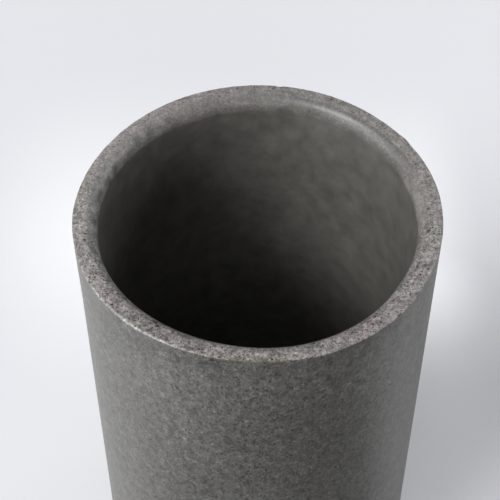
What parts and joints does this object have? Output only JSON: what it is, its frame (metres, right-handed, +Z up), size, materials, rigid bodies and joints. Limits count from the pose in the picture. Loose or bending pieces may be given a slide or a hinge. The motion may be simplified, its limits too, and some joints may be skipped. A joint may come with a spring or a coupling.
{
  "type": "bathroom tumbler",
  "caption": "Straight round open-topped tumbler of fine grey cast stone with a ground rim, rounded inner lip and a thin non-slip rubber pad set into its foot.",
  "frame": {"origin": "centre of the rubber pad's underside, on the axis, where the tumbler stands on a shelf", "axes": "+Z up the axis of the tumbler towards its open rim; +X to the right and -Y towards the viewer, the tumbler being the same all round"},
  "size_m": [0.07, 0.07, 0.115],
  "materials": {
    "cast_stone": "matte, fine-grained, sealed, with a lighter ground rim",
    "adhesive": "thin translucent acrylic adhesive film",
    "pad_rubber": "matte, finely pebbled"
  },
  "bodies": {
    "root": {"cup_body": "cast_stone", "adhesive_film": "adhesive", "base_pad": "pad_rubber"}
  },
  "joints": []
}
